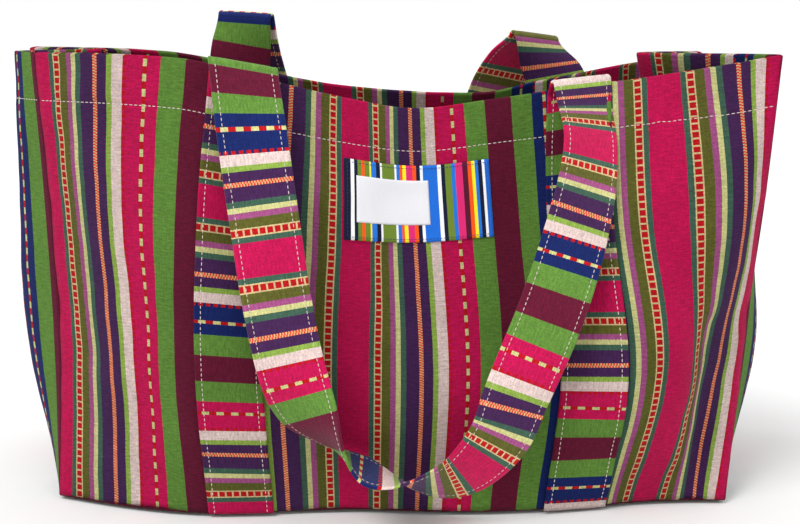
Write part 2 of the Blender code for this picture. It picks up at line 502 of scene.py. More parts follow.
HALF_UNITS = sum(band.width for band in HALF_REPEAT)


class Nodes:
    """A material's node tree, with short calls for the nodes that the finishes use."""

    def __init__(self, name: str) -> None:
        """Starts a new material of this name."""
        self.material = bpy.data.materials.new(name)
        self.material.use_nodes = True
        self.tree = self.material.node_tree
        self.shader = self.tree.nodes["Principled BSDF"]

    def add(self, kind: str, **settings: object) -> bpy.types.Node:
        """A new node of this kind, with its plain settings."""
        node = self.tree.nodes.new(kind)
        for name, value in settings.items():
            setattr(node, name, value)
        return node

    def feed(self, socket: Socket, value: object) -> None:
        """Links a socket to the value, or sets it."""
        if isinstance(value, bpy.types.NodeSocket):
            self.tree.links.new(value, socket)
        else:
            socket.default_value = value

    def made(self, kind: str, inputs: dict[str | int, object], **settings: object) -> bpy.types.Node:
        """A new node with its inputs fed.

        Args:
            kind: the node's type.
            inputs: what each input takes, by its name or place.
            settings: its plain settings.

        Returns:
            The node.
        """
        node = self.add(kind, **settings)
        for key, value in inputs.items():
            self.feed(node.inputs[key], value)
        return node

    def maths(self, operation: str, a: object, b: object = 0.0, c: object = 0.0) -> Socket:
        """One Math node's result, from up to three values."""
        return self.made("ShaderNodeMath", {0: a, 1: b, 2: c}, operation=operation).outputs[0]

    def times(self, a: object, b: object) -> Socket:
        """The product of two values."""
        return self.maths("MULTIPLY", a, b)

    def mix(self, factor: object, a: object, b: object, blend: str = "MIX") -> Socket:
        """One colour mixed from two."""
        inputs = {0: factor, 6: a, 7: b}
        return self.made("ShaderNodeMix", inputs, data_type="RGBA", blend_type=blend).outputs[2]

    def noise(self, vector: object, scale: float, detail: float = 2.0) -> Socket:
        """A noise's value, about 0.5 on average."""
        inputs = {"Vector": vector, "Scale": scale, "Detail": detail}
        return self.made("ShaderNodeTexNoise", inputs).outputs["Fac"]

    def spread(self, value: object, low: float, high: float) -> Socket:
        """A noise's value, mapped from low to high."""
        inputs = {"Value": value, "From Min": 0.25, "From Max": 0.75, "To Min": low, "To Max": high}
        return self.made("ShaderNodeMapRange", inputs).outputs[0]

    def steps(self, factor: object, stops: Sequence[tuple[float, Light]]) -> Socket:
        """A ramp of flat steps, each from its own place to the next.

        Args:
            factor: where the ramp is read, from 0 to 1.
            stops: each step's place and colour.

        Returns:
            The colour.
        """
        node = self.made("ShaderNodeValToRGB", {0: factor})
        ramp = node.color_ramp
        ramp.interpolation = "CONSTANT"
        for i, (place, colour) in enumerate(stops):
            stop = ramp.elements[i] if i < 2 else ramp.elements.new(place)
            stop.position = place
            stop.color = colour
        return node.outputs[0]

    def vector(self, x: object, y: object) -> Socket:
        """A vector from two values."""
        return self.made("ShaderNodeCombineXYZ", {0: x, 1: y}).outputs[0]

    def grey(self, value: object) -> Socket:
        """The grey of a value."""
        return self.made("ShaderNodeCombineColor", {0: value, 1: value, 2: value}).outputs[0]

    def cloth_place(self) -> tuple[Socket, Socket]:
        """The piece's own cloth map: across the stripes and along them, in metres."""
        place = self.add("ShaderNodeUVMap", uv_map=CLOTH_MAP)
        split = self.made("ShaderNodeSeparateXYZ", {0: place.outputs[0]})
        return split.outputs[0], split.outputs[1]

    def dye(self, colour: object) -> None:
        """Feeds the shader's colour."""
        self.feed(self.shader.inputs["Base Color"], colour)

    def bump(self, height: object, strength: float, distance: float) -> None:
        """Feeds the shader's normal from a height."""
        inputs = {"Height": height, "Strength": strength, "Distance": distance}
        self.feed(self.shader.inputs["Normal"], self.made("ShaderNodeBump", inputs).outputs[0])

    def cloth_shader(self, roughness: float, sheen: float) -> None:
        """The shader's own settings for matt cotton."""
        settings = {
            "Roughness": roughness,
            "Specular IOR Level": 0.1,
            "Sheen Weight": sheen,
            "Sheen Roughness": 0.5,
        }
        for name, value in settings.items():
            self.shader.inputs[name].default_value = value


def band_stops(colour: Callable[[Band], Light]) -> list[tuple[float, Light]]:
    """The half repeat as ramp stops.

    Args:
        colour: the rule that colours a band.

    Returns:
        Each band's place, as a share of the half repeat, and its colour.
    """
    return stops_of([(band.width, colour(band)) for band in HALF_REPEAT], HALF_UNITS)


def stops_of(bands: Sequence[tuple[float, Light]], total: float) -> list[tuple[float, Light]]:
    """Ramp stops for bands side by side.

    Args:
        bands: each band's width and colour.
        total: what all the widths add up to.

    Returns:
        Each band's place, as a share of the total, and its colour.
    """
    stops, place = [], 0.0
    for width, colour in bands:
        stops.append((place / total, colour))
        place += width
    return stops


def start_of(pick: Pick) -> float:
    """Where the first band with this pick begins, as a share of the half repeat."""
    before = itertools.takewhile(lambda band: band.pick is not pick, HALF_REPEAT)
    return sum(band.width for band in before) / HALF_UNITS


@dataclass(frozen=True)
class StripedCanvas:
    """Yarn-dyed plain-weave canvas: the warp stripes with their picked-out bands.

    The cloth map's x is the place across the stripes from a pink middle, its y runs along them.
    """

    name: str
    roughness: float = 0.86
    sheen: float = 0.02
    # a factor on the colour: above 1 it is painted light, below 1 painted shade
    brightness: float = 1.0
    yarn_pitch: float = 0.85 * MM
    mottle: float = 0.2
    broad_mottle: float = 0.1
    raggedness: float = 0.45 * MM
    relief: float = 0.8
    relief_depth: float = 0.35 * MM

    def build(self) -> bpy.types.Material:
        """Makes the material.

        Returns:
            The new material.
        """
        n = Nodes(self.name)
        across, along = n.cloth_place()
        wobble = n.noise(n.vector(across, along), 900.0, 1.0)
        ragged = n.maths("MULTIPLY_ADD", n.maths("SUBTRACT", wobble, 0.5), self.raggedness, across)
        half = HALF_UNITS * UNIT
        place = n.maths("DIVIDE", n.maths("PINGPONG", ragged, half), half)
        repeats = n.maths("DIVIDE", across, 2 * half)
        blue_side = n.maths("GREATER_THAN", n.maths("FRACT", repeats), 0.5)
        pink, blue = (
            n.steps(place, band_stops(lambda band: (band.yarn or ground).linear()))
            for ground in (Yarn.PINK, Yarn.BLUE)
        )
        second = n.steps(place, band_stops(lambda band: (band.other or band.yarn or Yarn.PINK).linear()))
        shown, raised = self._picks(n, place, along)
        colour = n.mix(shown, n.mix(blue_side, pink, blue), second)
        n.dye(n.mix(1.0, colour, n.grey(self._unevenness_and_painted_light(n, across, along)), "MULTIPLY"))
        n.bump(self._weave(n, across, along, raised), self.relief, self.relief_depth)
        n.cloth_shader(self.roughness, self.sheen)
        return n.material

    def _picks(self, n: Nodes, place: Socket, along: Socket) -> tuple[Socket, Socket]:
        """Where the second yarn shows.

        Args:
            n: the material's nodes.
            place: across the half repeat, from 0 to 1.
            along: along the stripes, in metres.

        Returns:
            1 where the second yarn shows, and how far a picked-out band stands proud.
        """
        picks = n.steps(place, band_stops(lambda band: band.pick.channels()))
        split = n.made("ShaderNodeSeparateColor", {0: picks})
        ladder, dash_or_tick, check = (split.outputs[k] for k in range(3))
        far = n.maths("GREATER_THAN", place, start_of(Pick.DASH))
        near = n.maths("SUBTRACT", 1.0, far)
        first = n.maths("GREATER_THAN", check, 0.75)
        second = n.maths("SUBTRACT", n.maths("GREATER_THAN", check, 0.25), first)
        bands = (
            (ladder, Pick.LADDER),
            (n.times(dash_or_tick, far), Pick.DASH),
            (n.times(dash_or_tick, near), Pick.TICK),
            (first, Pick.CHECK),
            (second, Pick.CHECK_BACK),
        )
        shown = 0.0
        for here, pick in bands:
            pitch, share = pick.value
            turn = n.maths("FRACT", n.maths("DIVIDE", along, pitch * UNIT))
            shown = n.maths("MULTIPLY_ADD", here, n.maths("LESS_THAN", turn, share), shown)
        return shown, n.maths("ADD", n.maths("ADD", ladder, dash_or_tick), check)

    def _unevenness_and_painted_light(self, n: Nodes, across: Socket, along: Socket) -> Socket:
        """Yarn streaks, slubs and broad unevenness, times the brightness: painted light on the straps'
        copies, painted shade on the base's.

        Args:
            n: the material's nodes.
            across: across the stripes, in metres.
            along: along them.

        Returns:
            A value about the brightness, which multiplies the colour.
        """
        noises = (  # stretch across, scale, detail, strength
            (9.0, 90.0, 2.0, self.mottle / 2),  # streaks along the warp
            (1.0, 900.0, 1.0, self.mottle),  # flecks
            (0.22, 760.0, 1.0, self.mottle),  # slubs in the weft
            (1.0, 22.0, 3.0, self.broad_mottle),
        )
        # starts from the brightness: above 1 painted light, below 1 painted shade
        total = self.brightness
        for stretch, scale, detail, strength in noises:
            value = n.noise(n.vector(n.times(across, stretch), along), scale, detail)
            total = n.times(total, n.spread(value, 1 - strength, 1 + strength))
        return total

    def _weave(self, n: Nodes, across: Socket, along: Socket, raised: Socket) -> Socket:
        """Plain weave with uneven yarns; the picked-out bands stand a little proud.

        Args:
            n: the material's nodes.
            across: across the stripes, in metres.
            along: along them.
            raised: about 1 on a picked-out band.

        Returns:
            The height that the bump takes.
        """
        turn = math.tau / self.yarn_pitch
        waves = [n.maths("SINE", n.times(place, turn)) for place in (across, along)]
        slub = n.noise(n.vector(n.times(across, 0.4), along), 640.0)
        height = n.maths("MULTIPLY_ADD", n.times(*waves), 0.3, n.times(slub, 1.6))
        return n.maths("MULTIPLY_ADD", raised, 0.8, height)


@dataclass(frozen=True)
class PlainThread:
    """Twisted sewing thread."""

    name: str
    colour: tuple[int, int, int]
    dark: float = 0.82  # of the colour, where the fibres shade each other

    def build(self) -> bpy.types.Material:
        """Makes the material.

        Returns:
            The new material.
        """
        n = Nodes(self.name)
        fuzz = n.noise(n.add("ShaderNodeTexCoord").outputs["Object"], 1800.0, 1.0)
        darker = shade(*[c * self.dark for c in self.colour])
        n.dye(n.mix(n.spread(fuzz, 0.0, 1.0), shade(*self.colour), darker))
        n.bump(fuzz, 0.4, 0.2 * MM)
        n.cloth_shader(0.7, 0.2)
        return n.material


@dataclass(frozen=True)
class LabelStripes:
    """The patch's woven stripes: generic colours, each a width in mm from its left edge."""

    name: str
    stripes: tuple[tuple[float, LabelYarn], ...]
    rib_pitch: float = 0.6 * MM

    def build(self) -> bpy.types.Material:
        """Makes the material.

        Returns:
            The new material.
        """
        n = Nodes(self.name)
        across, along = n.cloth_place()
        total = sum(width for width, _ in self.stripes)
        stops = stops_of([(width, shade(*yarn.value)) for width, yarn in self.stripes], total)
        colour = n.steps(n.maths("DIVIDE", across, total * MM), stops)
        ribs = n.maths("SINE", n.times(along, math.tau / self.rib_pitch))
        fleck = n.noise(n.vector(across, n.times(along, 3.0)), 800.0, 1.0)
        n.dye(n.mix(1.0, colour, n.grey(n.spread(fleck, 0.9, 1.1)), "MULTIPLY"))
        n.bump(n.maths("MULTIPLY_ADD", ribs, 0.3, fleck), 0.4, 0.2 * MM)
        n.cloth_shader(0.62, 0.1)
        return n.material


@dataclass(frozen=True)
class WovenTape:
    """The blank tag: close-woven pale tape with a faint rib."""

    name: str
    colour: tuple[int, int, int]
    darker_by: int = 12
    rib_pitch: float = 0.5 * MM

    def build(self) -> bpy.types.Material:
        """Makes the material.

        Returns:
            The new material.
        """
        n = Nodes(self.name)
        across, along = n.cloth_place()
        ribs = n.maths("SINE", n.times(along, math.tau / self.rib_pitch))
        fleck = n.noise(n.vector(across, along), 1200.0)
        darker = shade(*[c - self.darker_by for c in self.colour])
        n.dye(n.mix(n.spread(fleck, 0.0, 1.0), shade(*self.colour), darker))
        n.bump(n.maths("MULTIPLY_ADD", ribs, 0.4, fleck), 0.35, 0.12 * MM)
        n.cloth_shader(0.55, 0.05)
        return n.material


@dataclass(frozen=True)
class PaleFloor:
    """The plain pale floor."""

    name: str = "floor_paint"
    dark: Light = (0.78, 0.78, 0.78, 1.0)
    light: Light = (0.80, 0.80, 0.80, 1.0)

    def build(self) -> bpy.types.Material:
        """Makes the material.

        Returns:
            The new material.
        """
        n = Nodes(self.name)
        clouds = n.noise(n.add("ShaderNodeTexCoord").outputs["Object"], 3.0)
        n.dye(n.mix(clouds, self.dark, self.light))
        n.cloth_shader(0.9, 0.0)
        return n.material


# ---------------------------------------------------------------- making pieces


def as_mesh(name: str, shape: bmesh.types.BMesh) -> bpy.types.Mesh:
    """A mesh from a bmesh.

    Args:
        name: the mesh's name.
        shape: the bmesh, which is freed.

    Returns:
        The new mesh.
    """
    mesh = bpy.data.meshes.new(name)
    shape.to_mesh(mesh)
    shape.free()
    return mesh


def in_scene(name: str, data: bpy.types.ID) -> bpy.types.Object:
    """An object in the scene.

    Args:
        name: the object's name.
        data: its mesh, light or camera.

    Returns:
        The new object.
    """
    thing = bpy.data.objects.new(name, data)
    bpy.context.scene.collection.objects.link(thing)
    return thing


@dataclass
class Maker:
    """Turns bmeshes into finished pieces and keeps count of them."""

    made: list[bpy.types.Object] = field(default_factory=list)

    def finish(
        self,
        name: str,
        shape: bmesh.types.BMesh,
        finish: bpy.types.Material,
        slot: str,
        body: str = "bag",
        replaced: Sequence[str] = (),
    ) -> bpy.types.Object:
        """Makes an object of a bmesh, dresses it and lets it ride.

        Args:
            name: the piece's name.
            shape: its mesh, which is freed.
            finish: its material.
            slot: not used.
            body: what it rides on; empty where it is left loose.
            replaced: the CAD nodes that it stands for.

        Returns:
            The new object.
        """
        mesh = as_mesh(name, shape)
        mesh.shade_smooth()
        mesh.materials.append(finish)
        piece = in_scene(name, mesh)
        if body:
            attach(piece, body)
        if replaced:
            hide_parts(*replaced)
        self.made.append(piece)
        STAMP.info("%s: %d faces", name, len(mesh.polygons))
        return piece


def bent_grid(columns: int, rows: int, place: Place, cloth: Place) -> bmesh.types.BMesh:
    """A grid bent to shape, with its cloth map.

    Args:
        columns: faces along the first share.
        rows: faces along the second share.
        place: where shares (a, b) from 0 to 1 stand, in metres.
        cloth: where they lie on the flat cloth, in metres.

    Returns:
        The bmesh.
    """
    shape = bmesh.new()
    bmesh.ops.create_grid(shape, x_segments=columns, y_segments=rows, size=0.5)
    flat = np.array([vertex.co[:2] for vertex in shape.verts]) + 0.5
    stands, lies = place(flat[:, 0], flat[:, 1]), cloth(flat[:, 0], flat[:, 1])
    layer = shape.loops.layers.uv.new(CLOTH_MAP)
    for vertex, point in zip(shape.verts, stands):
        vertex.co = point
    shape.verts.index_update()
    for face in shape.faces:
        for loop in face.loops:
            loop[layer].uv = lies[loop.vert.index]
    return shape


def thicken(piece: bpy.types.Object, thickness: float) -> None:
    """Gives a sheet its real thickness, half to each side.

    Args:
        piece: the sheet.
        thickness: in metres.
    """
    wall = piece.modifiers.new("Thickness", "SOLIDIFY")
    wall.thickness = thickness
    wall.offset = 0.0
    wall.use_even_offset = False


@dataclass(frozen=True)
class Hem:
    """A folded hem: the cloth turns over at the rim and runs down inside."""

    depth: float = 33.0  # mm
    spacing: float = 1.5  # mm, between the two layers' middles
    pucker: float = 0.5  # mm, the height of the gathers beside the stitching
    pucker_reach: float = 14.0  # mm, up and down from it
    pucker_pitches: tuple[float, float] = (17.0, 11.3)  # mm
    second_wave: float = 0.6  # the second pitch's share of the height
    dent: float = 0.45  # mm, of the groove that the stitching lies in
    dent_reach: float = 2.2  # mm

    def line(self) -> float:
        """The stitching's share of the wall's height."""
        return 1.0 - self.depth / Wall.TALL

    def profile(self, v: np.ndarray) -> tuple[np.ndarray, np.ndarray]:
        """Where the cloth lies.

        Args:
            v: share of the wall's height, past 1 beyond the rim.

        Returns:
            The share of the height, and how far inside the outer layer, in mm.
        """
        beyond = np.maximum(v - 1.0, 0.0) * Wall.TALL
        arc = self.spacing * math.pi / 2
        angle = np.clip(beyond / arc, 0.0, 1.0) * math.pi
        inside = self.spacing / 2 * (1 - np.cos(angle))
        bulge = self.spacing / 2 * np.sin(angle)
        down = np.maximum(beyond - arc, 0.0)
        return np.where(v <= 1.0, v, 1.0 + (bulge - down) / Wall.TALL), inside

    def puckers(self, u: np.ndarray, v: np.ndarray) -> np.ndarray:
        """Small gathers beside the hem's stitching.

        Args:
            u: along the cloth, in mm.
            v: share of the wall's height.

        Returns:
            How far they lift the cloth, in mm.
        """
        away = (v - self.line()) * Wall.TALL
        first, second = (u * math.tau / pitch for pitch in self.pucker_pitches)
        wave = np.sin(first) + self.second_wave * np.sin(second + 1.0)
        return self.pucker * wave * fading(away, self.pucker_reach) - self.dent * fading(
            away, self.dent_reach
        )


@dataclass
class Thread:
    """A row of stitches along a line, each a small capsule half sunk in the cloth."""

    pitch: float = 3.7 * MM
    share: float = 0.76
    radius: float = 0.36 * MM
    proud: float = 0.35  # radii, of a stitch's middle over the cloth
    segments: int = 6
    rings: int = 4

    def sew(self, shape: bmesh.types.BMesh, line: Points, outward: np.ndarray) -> None:
        """Adds one row of stitches.

        Args:
            shape: the bmesh that takes the stitches.
            line: closely spaced points on the cloth's skin, in metres.
            outward: the cloth's unit normal at each.
        """
        reach = reach_of(line)
        count = max(int(reach[-1] / self.pitch), 1)
        middles = (np.arange(count) + 0.5) * reach[-1] / count
        half = self.pitch * self.share / 2
        low, high = (read_along(reach, line, middles + shift) for shift in (-half, half))
        along = (high - low) / 2
        up = unit(read_along(reach, outward, middles))
        side = unit(np.cross(up, along))
        up = unit(np.cross(along, side))
        centre = (low + high) / 2 + up * self.radius * self.proud
        one = self._stitch()
        for k in range(count):
            turn = Matrix((side[k] * self.radius, up[k] * self.radius, along[k])).transposed()
            copy = one.copy()
            copy.transform(Matrix.Translation(centre[k]) @ turn.to_4x4())
            shape.from_mesh(copy)
            bpy.data.meshes.remove(copy)
        bpy.data.meshes.remove(one)

    def _stitch(self) -> bpy.types.Mesh:
        """One stitch, one long and wide, along Z."""
        shape = bmesh.new()
        bmesh.ops.create_uvsphere(shape, u_segments=self.segments, v_segments=self.rings, radius=1.0)
        return as_mesh("stitch", shape)


# ---------------------------------------------------------------- sub-assemblies


@dataclass
class Panels:
    """The bag's body: two panels, two gussets and the base, cut from one striped cloth."""

    maker: Maker
    canvas: bpy.types.Material
    # painted shade: the base takes a darkened copy of the canvas
    base_canvas: bpy.types.Material
    hem: Hem = Hem()
    wide: float = CLOTH_WIDE
    gusset: float = Side.WIDE
    canvas_thickness: float = 1.1 * MM
    cell: float = 4.6  # mm
    hem_band: float = 6.0  # mm over and under the stitching, with close rows
    hem_rows: tuple[int, ...] = (12, 6, 9, 8)  # in that band, over it, at the turn and inside
    base_cell: tuple[float, float] = (7.0, 3.0)  # mm, along the base and from front to back
    corner_gap: float = 8.0  # mm, from a corner seam to a hem's inner layer
    gusset_phase: float = 160.0  # units from a pink middle to a gusset's front seam
    base_phase: float = 164.0  # units from a pink middle to the base's front seam
    over_floor: float = 0.05 * MM
    front_curl: float = 9.0  # mm, in which the base's front edge turns up to its seam
    back_curl: float = 5.0  # mm
    tuck: tuple[float, float, float] = (5.0, 6.0, 0.35)  # mm from the front, mm wide, share of the seam

    def build(self) -> None:
        """Makes the five cloth pieces."""
        for name, wall in (("front", FRONT), ("back", BACK)):
            self._panel(name, wall)
        for name, side in (("left", LEFT), ("right", RIGHT)):
            self._side(name, side)
        self._base()

    def _panel(self, name: str, wall: Wall) -> None:
        """One panel with its folded hem."""

        def place(a: np.ndarray, b: np.ndarray) -> Points:
            """Where the cloth's shares stand."""
            v, inside = self.hem.profile(b)
            u = self._clear_of_seams(a, inside, self.wide) * self.wide
            return wall.at(u, v, self.hem.puckers(u, v) - inside)

        self._cloth(f"{name}_cloth", f"{name}_panel", self.wide, 0.0, place)

    def _side(self, name: str, side: Side) -> None:
        """One gusset with its folded hem."""

        def place(a: np.ndarray, b: np.ndarray) -> Points:
            """Where the cloth's shares stand."""
            v, inside = self.hem.profile(b)
            w = self._clear_of_seams(a, inside, self.gusset)
            calm = np.sin(a * math.pi)
            return side.at(w, v, self.hem.puckers(a * self.gusset, v) * calm - inside)

        start = self.gusset_phase * UNIT
        self._cloth(f"{name}_side_cloth", f"{name}_gusset", self.gusset, start, place)

    def _clear_of_seams(self, share: np.ndarray, inside: np.ndarray, wide: float) -> np.ndarray:
        """Draws the hem's inner layer in from the corner seams, so that it clears the next wall.

        Args:
            share: where the cloth is along the wall, from 0 to 1.
            inside: how far it is inside the outer layer, in mm.
            wide: the wall's width, in mm.

        Returns:
            The share where it stands.
        """
        drawn = 2 * self.corner_gap / wide * inside / self.hem.spacing
        return 0.5 + (share - 0.5) * (1 - drawn)

    def _rows(self) -> np.ndarray:
        """The cloth's rows: close together by the hem and its turn.

        Returns:
            Shares of the wall's height, which pass 1 beyond the rim.
        """
        hem, turn = self.hem.depth / Wall.TALL, self.hem.spacing * math.pi / 2 / Wall.TALL
        near = self.hem_band / Wall.TALL
        stops = (0.0, 1 - hem - near, 1 - hem + near, 1 - turn, 1 + 2 * turn, 1 + hem)
        counts = (round((1 - hem) * Wall.TALL / self.cell), *self.hem_rows)
        runs = [
            np.linspace(low, high, count, endpoint=False)
            for low, high, count in zip(stops, stops[1:], counts)
        ]
        return np.concatenate([*runs, [stops[-1]]])

    def _cloth(self, name: str, node: str, wide: float, start: float, place: Place) -> None:
        """One wall's cloth.

        Args:
            name: the piece's name.
            node: the CAD node that it stands for.
            wide: its width, in mm.
            start: the cloth map's first x, in metres.
            place: where its shares stand; the second one passes 1 at the rim.
        """
        rows = self._rows()
        steps = np.linspace(0.0, 1.0, len(rows))

        def lies(a: np.ndarray, b: np.ndarray) -> Points:
            """Where the grid's shares lie on the flat cloth."""
            return np.column_stack([start + a * wide * MM, np.interp(b, steps, rows) * Wall.TALL * MM])

        def stands(a: np.ndarray, b: np.ndarray) -> Points:
            """Where the grid's shares stand."""
            return place(a, np.interp(b, steps, rows))

        shape = bent_grid(round(wide / self.cell), len(rows) - 1, stands, lies)
        piece = self.maker.finish(name, shape, self.canvas, "striped_canvas", replaced=[node])
        thicken(piece, self.canvas_thickness)

    def _base(self) -> None:
        """The base, between the walls' lowest edges, which curls up to its seams."""
        floor = self.canvas_thickness / 2 + self.over_floor
        tuck_place, tuck_width, tuck_share = self.tuck

        def place(a: np.ndarray, b: np.ndarray) -> Points:
            """Where the base's shares stand."""
            u, low, deep = a * self.wide, np.zeros_like(a), b * self.gusset
            front, back = FRONT.bare(u, low) * MM, BACK.bare(u, low) * MM
            flat = front + (back - front) * b[:, None]
            flat[:, 2] = floor + (front[:, 2] - floor) * fading(deep, self.front_curl)
            flat[:, 2] += (back[:, 2] - floor) * fading((1 - b) * self.gusset, self.back_curl)
            flat[:, 1] -= fading(deep - tuck_place, tuck_width) * front[:, 2] * tuck_share
            return flat

        def cloth(a: np.ndarray, b: np.ndarray) -> Points:
            """Where they lie on the flat cloth."""
            across = self.base_phase * UNIT + b * self.gusset * MM
            return np.column_stack([across, a * self.wide * MM])

        columns, rows = (round(size / cell) for size, cell in zip((self.wide, self.gusset), self.base_cell))
        shape = bent_grid(columns, rows, place, cloth)
        piece = self.maker.finish(
            "base_cloth", shape, self.base_canvas, "base_canvas", replaced=["base_panel"]
        )
        thicken(piece, self.canvas_thickness)


@dataclass(frozen=True)
class StrapSection:
    """A folded strap's cross-section: flat, with round edges and a stitched groove by each."""

    width: float = 47.0  # mm
    thickness: float = 2.5
    groove_inset: float = 4.6
    groove_width: float = 1.3
    groove_depth: float = 0.45
    points: int = 15  # on each face
    edge_crowding: float = 0.8  # a power under 1 draws the outline's points to the edges

    def half_height(self, x: np.ndarray) -> np.ndarray:
        """The face's height over the middle.

        Args:
            x: from the strap's middle line, in mm.

        Returns:
            The height at each x, in mm.
        """
        edge = self.width / 2 - np.abs(x)
        round_edge = np.clip(edge / (self.thickness / 2), 0.0, 1.0)
        height = self.thickness / 2 * np.sqrt(np.maximum(1 - (1 - round_edge) ** 2, 0.0))
        return height - self.groove_depth * fading(edge - self.groove_inset, self.groove_width)

    def around(self, b: np.ndarray) -> tuple[np.ndarray, np.ndarray]:
        """The outline.

        Args:
            b: share of the way round it.

        Returns:
            x across and y out of the face, in mm.
        """
        spread = np.cos(b * math.tau)
        x = np.sign(spread) * np.abs(spread) ** self.edge_crowding * self.width / 2
        return x, np.where(b <= 0.5, 1.0, -1.0) * self.half_height(x)


@dataclass
class Track:
    """A strap's middle line: points with their across and outward directions."""

    middle: Points
    across: np.ndarray
    outward: np.ndarray

    def at(self, share: np.ndarray, x: np.ndarray, y: np.ndarray) -> Points:
        """Points by the track.

        Args:
            share: of the track's length.
            x: across it, in mm.
            y: out of it, in mm.

        Returns:
            One row for each, in metres.
        """
        reach = reach_of(self.middle)
        middle, across, outward = (
            read_along(reach, rows, share * reach[-1]) for rows in (self.middle, self.across, self.outward)
        )
        return middle + (unit(across) * x[:, None] + unit(outward) * y[:, None]) * MM

    def length(self) -> float:
        """The middle line's length, in metres."""
        return float(reach_of(self.middle)[-1])


@dataclass(frozen=True)
class HandleShape:
    """One strap's route, as the frame has it, and how it twists and carries its stripes."""

    body: str
    wall: Wall
    side: int  # -1 faces the front, 1 the back
    legs: tuple[tuple[float, ...], tuple[float, ...]]  # mm along the panel, at ROW_HEIGHTS
    creases: tuple[tuple[float, float, float], tuple[float, float, float]]  # mm
    route: tuple[tuple[float, float, float], ...]  # mm
    bottoms: tuple[float, float]  # units, the stripes' phase at the legs' lower ends
    phases: tuple[tuple[float, float], ...]  # share of the loop, and the phase there in units
    twists: tuple[tuple[float, float], ...]  # share of the loop, and degrees about its own line
    tilts: tuple[float, float]  # each crease's slope across the strap
    turns: tuple[float, float]  # degrees that each crease is turned from the handle's axis


FRONT_STRAP = HandleShape(
    body="front_handle",
    wall=FRONT,
    side=-1,
    legs=((148.0, 148.0, 148.0, 148.0), (404.0, 404.0, 406.0, 409.0)),
    creases=((-106, -115, 320.5), (128, -77, 309.5)),
    route=(
        (-101, -128, 290), (-95, -138, 250), (-89, -143, 208), (-83, -145, 165),
        (-73, -145, 114), (-62, -142, 84), (-46, -139, 61), (-25, -138, 44),
        (0, -138, 35), (24, -138, 34), (43, -138, 40), (58, -139, 53), (71, -140, 72),
        (79, -140, 95), (89, -139, 120), (100, -137, 147), (111, -133, 178),
        (121, -126, 211), (129, -115, 242), (133, -100, 270), (131, -85, 293),
    ),
    bottoms=(2.0, 1810.0),
    phases=(
        (0.0, 452.5), (0.03, 488.0), (0.05, 509.5), (0.085, 535.0), (0.165, 608.0), (0.22, 656.0),
        (0.363, 776.5), (0.406, 803.5), (0.44, 835.0), (0.476, 862.0), (0.54, 922.0),
        (0.594, 972.0), (0.64, 1016.0), (0.77, 1119.5), (0.855, 1196.0), (0.93, 1264.0),
        (0.957, 1290.0), (0.985, 1332.0), (1.0, 1356.0),
    ),
    twists=(
        (0.0, 0.0), (0.31, 0.0), (0.355, 20.0), (0.395, 58.0), (0.41, 71.0), (0.445, 94.0),
        (0.47, 86.0), (0.49, 70.0), (0.515, 50.0), (0.55, 32.0), (0.6, 16.0), (0.66, 5.0),
        (0.72, 0.0), (0.8, 6.0), (0.88, 18.0), (0.94, 16.0), (1.0, 0.0),
    ),
    tilts=(-0.13, 0.13),
    turns=(0.0, 15.0),
)
BACK_STRAP = HandleShape(
    body="back_handle",
    wall=BACK,
    side=1,
    legs=((156.0, 156.0, 157.0, 159.0), (414.0, 414.0, 414.0, 414.0)),
    creases=((-120, 18, 358), (107, 35, 342)),
    route=(
        (-116, 33, 328), (-109, 50, 288), (-101, 72, 245), (-93, 90, 205), (-82, 102, 170),
        (-66, 108, 140), (-43, 110, 118), (-14, 110, 108), (14, 110, 110), (38, 110, 124),
        (54, 106, 150), (62, 98, 185), (67, 84, 222), (72, 69, 262), (79, 56, 300),
        (91, 46, 327),
    ),
    bottoms=(-284.0, 1466.0),
    phases=((0.0, 204.0), (1.0, 978.0)),
    twists=((0.0, 0.0), (0.3, 0.0), (0.5, 20.0), (0.7, 0.0), (1.0, 0.0)),
    tilts=(0.0, -0.03),
    turns=(-28.0, 32.0),
)


